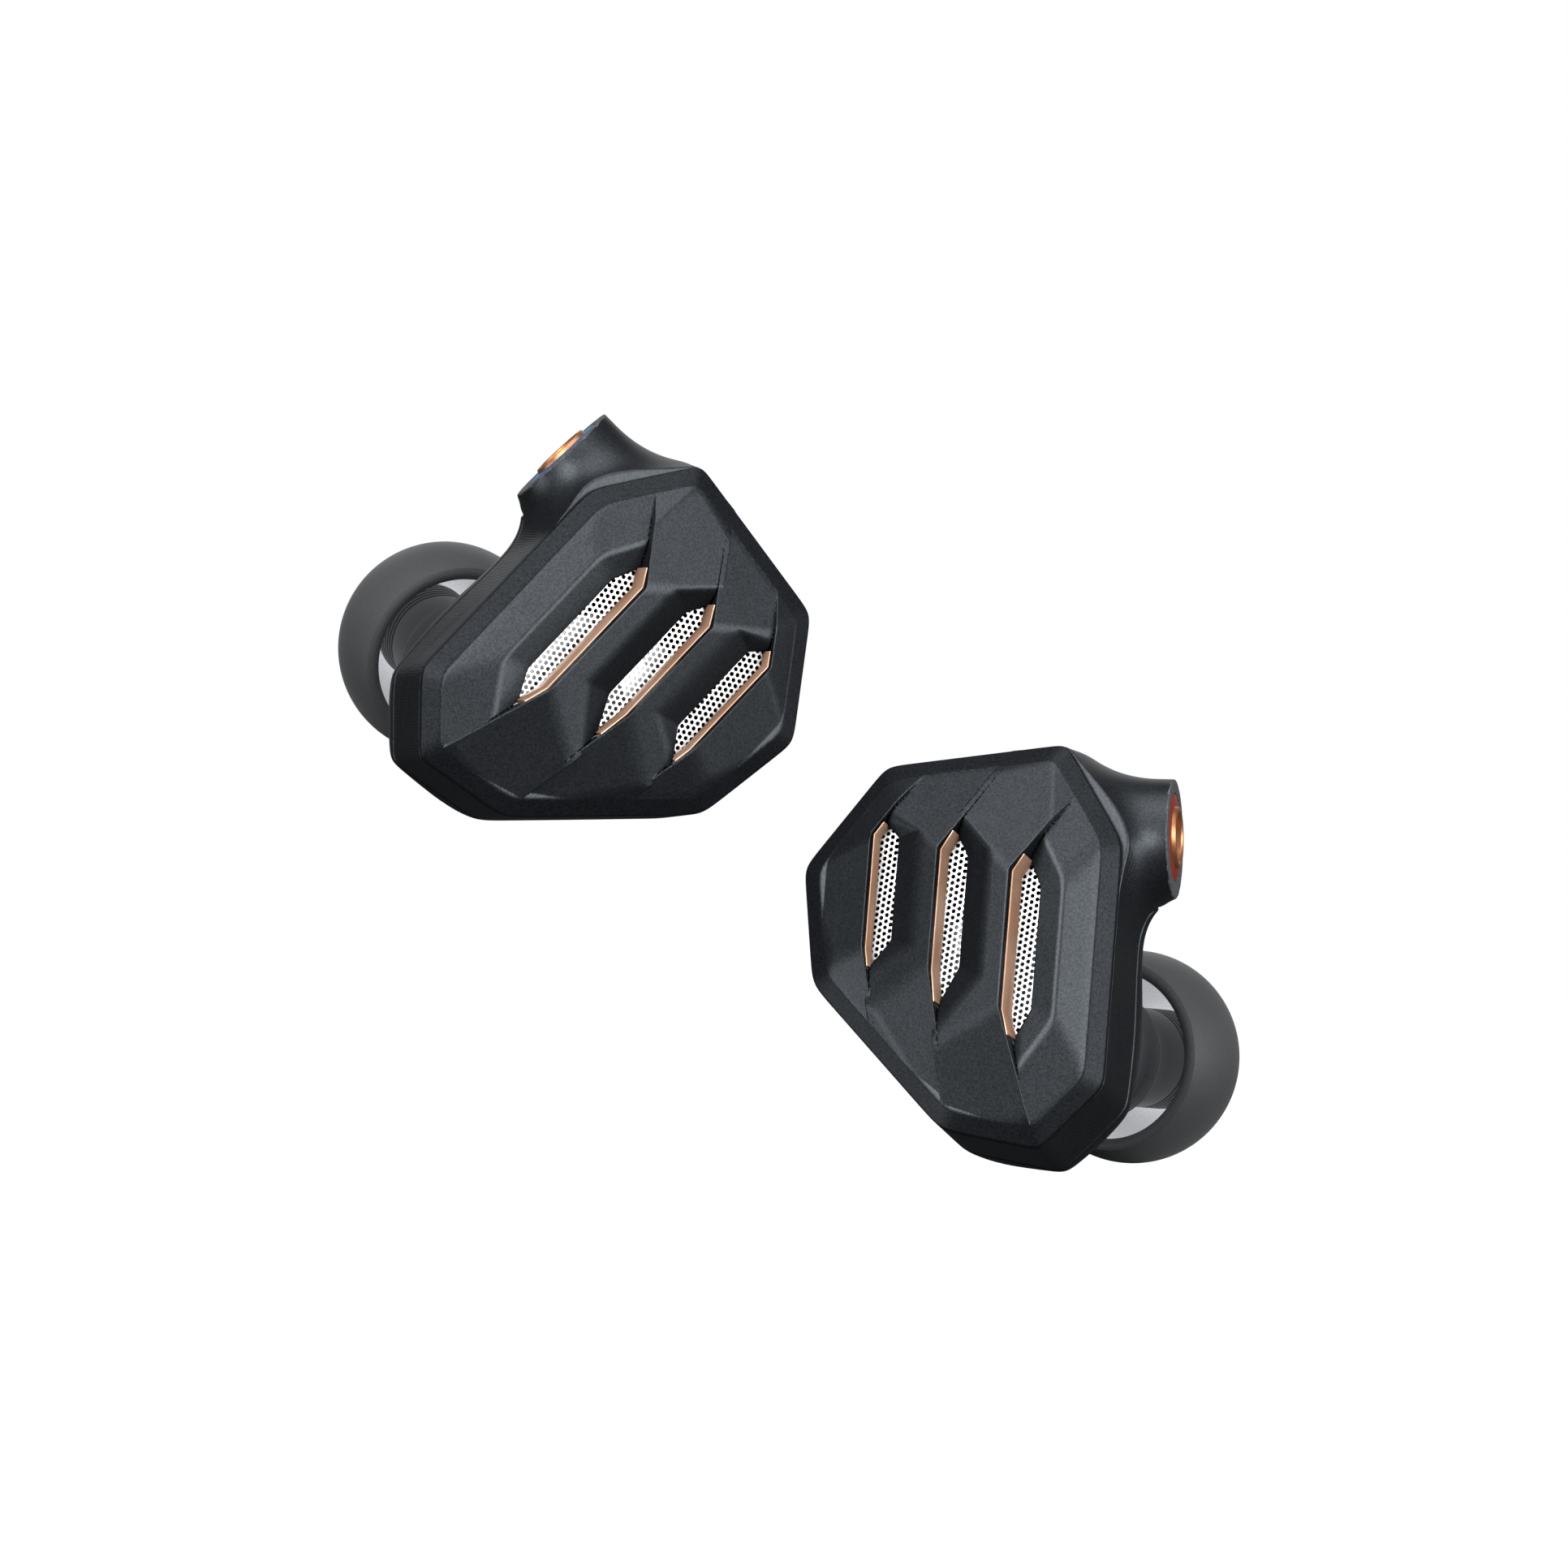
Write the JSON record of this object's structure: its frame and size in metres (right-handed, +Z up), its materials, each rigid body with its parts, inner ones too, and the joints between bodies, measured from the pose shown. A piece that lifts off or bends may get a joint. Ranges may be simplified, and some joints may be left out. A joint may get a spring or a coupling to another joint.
{
  "type": "in-ear monitors",
  "caption": "Pair of in-ear monitors with louvred vented faceplates, a neck for a detachable cable on each shell, and silicone ear tips.",
  "frame": {"origin": "centre of the left ear tip's dome, where the left ear canal holds it", "axes": "+X across the pair, from the left earpiece to the right one; +Y from the faceplates towards the ear tips; +Z up"},
  "size_m": [0.0516, 0.0272, 0.0431],
  "materials": {
    "shell": "fine bead-blasted black anodising, satin",
    "mesh": "perforated stainless steel, bright",
    "copper": "rose-gold plated brass, polished",
    "seal": "black silicone gasket",
    "nozzle": "turned aluminium, satin",
    "felt": "acoustic felt and foam",
    "tip_dome": "matte dark grey silicone",
    "tip_core": "firmer, slightly translucent silicone",
    "ring_left": "blue side-marking ring",
    "ring_right": "red side-marking ring",
    "insulator": "white moulded insulator",
    "contact": "gold-plated contact",
    "driver_steel": "stamped and turned steel",
    "magnet": "nickel-plated neodymium magnet",
    "coil": "enamelled copper winding",
    "film": "formed polymer film",
    "tube": "clear silicone tube",
    "board": "glass-epoxy circuit board",
    "components": "ceramic chip components",
    "wires": "enamelled hook-up wire"
  },
  "bodies": {
    "left_earpiece": {"left_faceplate": "shell", "left_vent_mesh": "mesh", "left_vent_liner": "copper", "left_faceplate_seal": "seal", "left_side_frame": "shell", "left_socket_housing": "shell", "left_rear_shell": "shell", "left_nozzle": "nozzle", "left_nozzle_screen": "mesh", "left_nozzle_damper": "felt", "left_socket_barrel": "copper", "left_socket_ring": "ring_left", "left_socket_insulator": "insulator", "left_socket_contact": "contact", "left_driver_frame": "driver_steel", "left_driver_cover": "driver_steel", "left_driver_yoke": "driver_steel", "left_driver_magnet": "magnet", "left_driver_top_plate": "driver_steel", "left_driver_felt": "felt", "left_treble_driver": "driver_steel", "left_sound_tube": "tube", "left_crossover_board": "board", "left_board_components": "components", "left_signal_wires": "wires"},
    "left_ear_tip": {"left_ear_tip_dome": "tip_dome", "left_ear_tip_core": "tip_core"},
    "left_diaphragm": {"left_voice_coil": "coil", "left_diaphragm": "film"},
    "right_earpiece": {"right_faceplate": "shell", "right_vent_mesh": "mesh", "right_vent_liner": "copper", "right_faceplate_seal": "seal", "right_side_frame": "shell", "right_socket_housing": "shell", "right_rear_shell": "shell", "right_nozzle": "nozzle", "right_nozzle_screen": "mesh", "right_nozzle_damper": "felt", "right_socket_barrel": "copper", "right_socket_ring": "ring_right", "right_socket_insulator": "insulator", "right_socket_contact": "contact", "right_driver_frame": "driver_steel", "right_driver_cover": "driver_steel", "right_driver_yoke": "driver_steel", "right_driver_magnet": "magnet", "right_driver_top_plate": "driver_steel", "right_driver_felt": "felt", "right_treble_driver": "driver_steel", "right_sound_tube": "tube", "right_crossover_board": "board", "right_board_components": "components", "right_signal_wires": "wires"},
    "right_ear_tip": {"right_ear_tip_dome": "tip_dome", "right_ear_tip_core": "tip_core"},
    "right_diaphragm": {"right_voice_coil": "coil", "right_diaphragm": "film"}
  },
  "joints": [
    {"name": "right_earpiece_lift_off", "type": "slide", "parent": "left_earpiece", "child": "right_earpiece", "axis": [0.6, 0, 0.8], "range_m": [0, 0.03]},
    {"name": "left_ear_tip_pull_off", "type": "slide", "parent": "left_earpiece", "child": "left_ear_tip", "axis": [-0.3067, 0.9142, 0.2648], "range_m": [0, 0.008]},
    {"name": "left_diaphragm_travel", "type": "slide", "parent": "left_earpiece", "child": "left_diaphragm", "axis": [-0.3025, 0.9524, -0.037], "range_m": [-0.00015, 0.00015], "stiffness_N_per_m": 60},
    {"name": "right_ear_tip_pull_off", "type": "slide", "parent": "right_earpiece", "child": "right_ear_tip", "axis": [0.4828, 0.8745, -0.0459], "range_m": [0, 0.008]},
    {"name": "right_diaphragm_travel", "type": "slide", "parent": "right_earpiece", "child": "right_diaphragm", "axis": [0.2648, 0.9312, -0.2504], "range_m": [-0.00015, 0.00015], "stiffness_N_per_m": 60}
  ]
}
